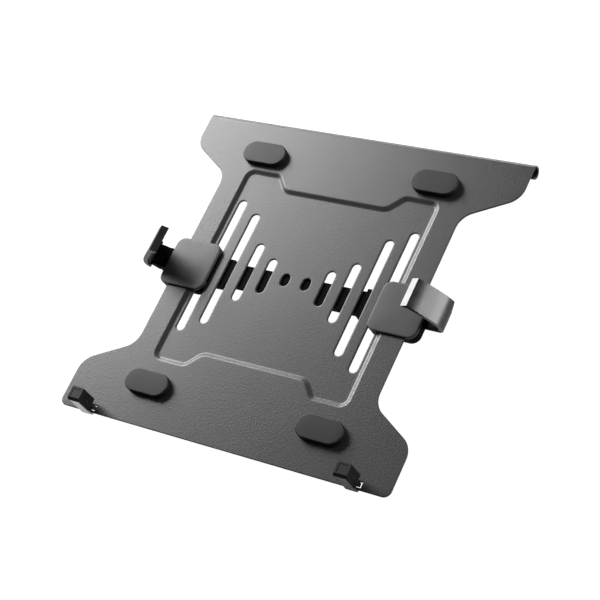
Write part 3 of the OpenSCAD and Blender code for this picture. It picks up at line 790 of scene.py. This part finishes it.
def cover_mesh(side, sign):
    low, high = (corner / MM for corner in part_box(side + "_clamp_cover"))
    centre_x = (low.x + high.x) / 2
    centre_y = (low.y + high.y) / 2
    skin = Skin()
    rows = []
    for inset, share in COVER_EDGE + COVER_CROWN:
        radius = max(COVER_CORNER - CORNER_LOSS * inset, LEAST_CORNER)
        corners = box_corners(centre_x, centre_y, (high.x - low.x) / 2 - inset,
                              (high.y - low.y) / 2 - inset, radius)
        rows.append((closed_outline(corners), TOP_Z + share * (high.z - TOP_Z)))
    skin.stack(rows)
    for step in (-1, 1):
        ring = circle(sign * SLOT_SCREW_X, CLAMP_Y + step * SLOT_SCREW_Y, BOSS_RADIUS)
        skin.stack([(ring, low.z), (ring, TOP_Z + BOSS_SINK)])
    return skin.mesh(side + "_cover")


for side, sign in SIDES:
    finish_piece(side + "_cover", cover_mesh(side, sign), SPARKED_ABS, "tray", "clamp_plastic",
                 side + "_clamp_cover")

# %% [markdown]
# ## Pieces made from the CAD's own solids
#
# A solid from the CAD has dead sharp edges, but no real edge is sharp: it has a radius that
# catches a thin line of light. Each such piece is a merged copy of its CAD node with its flat
# faces cleaned up, a small bevel, and weighted normals, so flats stay flat.

# %% Dressing a CAD node
FLAT_ANGLE = math.radians(0.5)
BEVEL_ANGLE = math.radians(32)
BEVEL_SEGMENTS = 3
CAD_WELD_MM = 0.002


def dress(node, material, radius_mm, body, slot):
    """A copy of a CAD node, merged, cleaned, given rounded edges and a finish."""
    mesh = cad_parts[node].data.copy()
    shape = bmesh.new()
    shape.from_mesh(mesh)
    bmesh.ops.remove_doubles(shape, verts=shape.verts, dist=CAD_WELD_MM * MM)
    bmesh.ops.dissolve_limit(shape, angle_limit=FLAT_ANGLE, verts=shape.verts, edges=shape.edges)
    bmesh.ops.recalc_face_normals(shape, faces=shape.faces)
    for face in shape.faces:
        face.smooth = True
    shape.to_mesh(mesh)
    shape.free()
    piece = finish_piece(node + "_piece", mesh, material, body, slot, node)
    bevel = piece.modifiers.new("edge_round", "BEVEL")
    bevel.width = radius_mm * MM
    bevel.segments = BEVEL_SEGMENTS
    bevel.limit_method = "ANGLE"
    bevel.angle_limit = BEVEL_ANGLE
    piece.modifiers.move(1, 0)
    return piece


# Node, finish, edge radius in millimetres, body and slot, once for each side
PARTS = (
    ("{}_stop_strap", BRUSHED_STRIP, 0.2, "tray", "strap_steel"),
    ("{}_stop_cap", STOP_RUBBER, 0.55, "tray", "stop_rubber"),
    ("{}_clamp_base", BLACK_NYLON, 0.3, "tray", "rail_plastic"),
    ("{}_slide_arm", BLACK_NYLON, 0.3, "{}_clamp", "rail_plastic"),
    ("{}_claw", CLAW_ABS, 0.5, "{}_clamp", "clamp_plastic"),
    ("{}_claw_liner", STOP_RUBBER, 0.3, "{}_clamp", "stop_rubber"),
)
for side, _ in SIDES:
    for node, material, radius, body, slot in PARTS:
        piece = dress(node.format(side), material, radius, body.format(side), slot)
        print(piece.name, "faces before its round edges:", len(piece.data.polygons))
dress("centre_rail", BLACK_NYLON, 0.2, "tray", "rail_plastic")

# %% The dark foot of each claw
# The foot that is screwed to the arm is the same dull nylon as the arm
FOOT_TOP = 5.6
BELLY_REACH = 4.2
for side, sign in SIDES:
    claw = bpy.data.objects[side + "_claw_piece"]
    claw.data.materials.append(BLACK_NYLON)
    belly = max(sign * corner.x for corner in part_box(side + "_claw")) / MM
    foot = [face for face in claw.data.polygons
            if face.center.z < FOOT_TOP * MM and sign * face.center.x < (belly - BELLY_REACH) * MM]
    for face in foot:
        face.material_index = 1
    print(claw.name, "faces of the foot:", len(foot))

# %% [markdown]
# ## Screws
#
# Pan head screws with a hexagon socket hold the clamps together from below. One screw is a stack
# of rows: the socket's six corners, the head's edge and the shank. The same tree as for the pads
# stands it on the points where the screws are, and turns each one differently, as real screws
# stop where they are tight.

# %% Screws
HEAD_WIDTH = 5.6
SHANK_WIDTH = 3.0
SOCKET_RADIUS = 1.24
SOCKET_RIM = 1.36
SCREW_TIP = 0.4
HEX_STEPS = 24
CLAMP_SCREW_SEAT = -6.1
CLAMP_SCREW_HEAD = 1.8
CLAMP_SCREW_LENGTH = 9.0
EDGE_SCREW_INSET = 4.5
EDGE_SCREW_Y = 12.5
CLAW_SCREW_HEAD = 1.3
CLAW_SCREW_Y = 4.5


def hexagon(radius):
    turns = [math.tau * i / HEX_STEPS for i in range(HEX_STEPS)]
    reach = [radius * math.cos(math.pi / 6) / math.cos(a % (math.pi / 3) - math.pi / 6) for a in turns]
    return [(r * math.cos(a), r * math.sin(a)) for r, a in zip(reach, turns)]


def screw_mesh(name, head, length):
    """A screw that stands on its head, the underside of its head at height 0."""
    wide = HEAD_WIDTH / 2
    shank = SHANK_WIDTH / 2
    rounds = ((wide - 0.5, -head), (wide - 0.15, 0.12 - head), (wide, 0.5 - head), (wide, -0.1),
              (wide - 0.1, 0.0), (shank, 0.0), (shank, length - SCREW_TIP), (shank - SCREW_TIP, length))
    rows = [(hexagon(SOCKET_RADIUS), -0.4 * head), (hexagon(SOCKET_RADIUS), 0.1 - head),
            (hexagon(SOCKET_RIM), -head)]
    rows += [(circle(0.0, 0.0, radius, HEX_STEPS), height) for radius, height in rounds]
    skin = Skin()
    skin.stack(rows)
    return skin.mesh(name)


for side, sign in SIDES:
    edge_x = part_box(side + "_clamp_cover")[1 if sign > 0 else 0].x / MM - sign * EDGE_SCREW_INSET
    pairs = ((sign * SLOT_SCREW_X, SLOT_SCREW_Y), (edge_x, EDGE_SCREW_Y))
    places = [(x, CLAMP_Y + step * y, CLAMP_SCREW_SEAT) for x, y in pairs for step in (-1, 1)]
    shape = screw_mesh("clamp_screw", CLAMP_SCREW_HEAD, CLAMP_SCREW_LENGTH)
    mesh = stand_on_points(side + "_clamp_screws_piece", PLACING, places, shape, BRIGHT_ZINC, math.pi / 3)
    finish_piece(mesh.name, mesh, BRIGHT_ZINC, "tray", "screw_steel", side + "_clamp_screws")
    low, high = (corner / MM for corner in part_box(side + "_claw_screws"))
    places = [((low.x + high.x) / 2, CLAMP_Y + step * CLAW_SCREW_Y, low.z + CLAW_SCREW_HEAD)
              for step in (-1, 1)]
    shape = screw_mesh("claw_screw", CLAW_SCREW_HEAD, high.z - low.z - CLAW_SCREW_HEAD)
    mesh = stand_on_points(side + "_claw_screws_piece", PLACING, places, shape, BRIGHT_ZINC, math.pi / 3)
    finish_piece(mesh.name, mesh, BRIGHT_ZINC, side + "_clamp", "screw_steel", side + "_claw_screws")
    print(side, "screws:", len(mesh.polygons), "faces")

# %% Small steel parts that the frame already has right
for name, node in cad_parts.items():
    if name.endswith(("_pin", "_pins")):
        node.data.materials.clear()
        node.data.materials.append(BRIGHT_ZINC)
        print("finished", name)

# %% [markdown]
# ## Springs
#
# A tension spring pulls each clamp in. It hooks over a pin in the rail and over a post on the
# arm. The real one is wound from drawn wire, and here too a wire is swept along a centre line: a
# loop, the coil and another loop. The coil is drawn as long as its clamp stands open at rest.

# %% A tree that sweeps a wire


def wire_tree(name):
    """Sweeps a round wire of a given radius along the edges of a mesh."""
    tree = bpy.data.node_groups.new(name, "GeometryNodeTree")
    tree.is_modifier = True
    for title, kind in (("Line", "Geometry"), ("Wire radius", "Float"), ("Sides", "Int"),
                        ("Finish", "Material")):
        tree.interface.new_socket(title, in_out="INPUT", socket_type="NodeSocket" + kind)
    tree.interface.new_socket("Mesh", in_out="OUTPUT", socket_type="NodeSocketGeometry")
    given = add_node(tree, "NodeGroupInput").outputs
    line = add_node(tree, "GeometryNodeMeshToCurve", None, {"Mesh": given["Line"]})
    ring = add_node(tree, "GeometryNodeCurvePrimitiveCircle", None,
                    {"Resolution": given["Sides"], "Radius": given["Wire radius"]})
    swept = add_node(tree, "GeometryNodeCurveToMesh", None,
                     {"Curve": line.outputs["Curve"], "Profile Curve": ring.outputs["Curve"],
                      "Fill Caps": True})
    real = add_node(tree, "GeometryNodeRealizeInstances", None, {"Geometry": swept.outputs["Mesh"]})
    done = add_node(tree, "GeometryNodeSetMaterial", None,
                    {"Geometry": real.outputs["Geometry"], "Material": given["Finish"]})
    add_node(tree, "NodeGroupOutput", None, {"Mesh": done.outputs["Geometry"]})
    return tree


SPRING_TREE = wire_tree("sweep_wire")
print("nodes in the tree:", len(SPRING_TREE.nodes))

# %% Springs
PIN_X = -66.7
POST_X = 9.0
LOOP_RADIUS = 1.4
COIL_RADIUS = 1.35
COIL_FROM = -63.7
COIL_TO = 3.5
COILS = 24
COIL_STEPS = 12
SPRING_WIRE_RADIUS = 0.35
WIRE_SIDES = 8
# First and last angle of each loop in degrees, and the step between its points
PIN_LOOP = (-200, 50)
POST_LOOP = (130, 380)
LOOP_STEP = 25
SPRING_LANE = 3.6
SPRING_Z = -4.8
# How far each clamp stands open at rest
OPENED = {"left": 0.0, "right": 3.5}


def loop_points(x, first, last):
    turns = [math.radians(a) for a in range(first, last + 1, LOOP_STEP)]
    return [(x + LOOP_RADIUS * math.cos(a), LOOP_RADIUS * math.sin(a), 0.0) for a in turns]


def spring_points(opened):
    """The centre line of the wire in the spring's own lane."""
    points = loop_points(PIN_X, *PIN_LOOP)
    length = COIL_TO + opened - COIL_FROM
    for i in range(COILS * COIL_STEPS + 1):
        turn = math.tau * i / COIL_STEPS
        points.append((COIL_FROM + length * i / (COILS * COIL_STEPS),
                       COIL_RADIUS * math.cos(turn), COIL_RADIUS * math.sin(turn)))
    return points + loop_points(POST_X + opened, *POST_LOOP)


for side, sign in SIDES:
    points = [Vector((sign * x, CLAMP_Y + sign * (SPRING_LANE + y), SPRING_Z + z)) * MM
              for x, y, z in spring_points(OPENED[side])]
    line = bpy.data.meshes.new(side + "_spring_line")
    line.from_pydata(points, [(i, i + 1) for i in range(len(points) - 1)], [])
    mesh = run_tree(side + "_spring_piece", line, SPRING_TREE,
                    {"Wire radius": SPRING_WIRE_RADIUS * MM, "Sides": WIRE_SIDES,
                     "Finish": SPRING_WIRE})
    mesh.shade_smooth()
    piece = bpy.data.objects.new(mesh.name, mesh)
    scene.collection.objects.link(piece)
    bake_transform(piece)
    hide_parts(side + "_tension_spring")
    print(piece.name, "faces:", len(mesh.polygons))
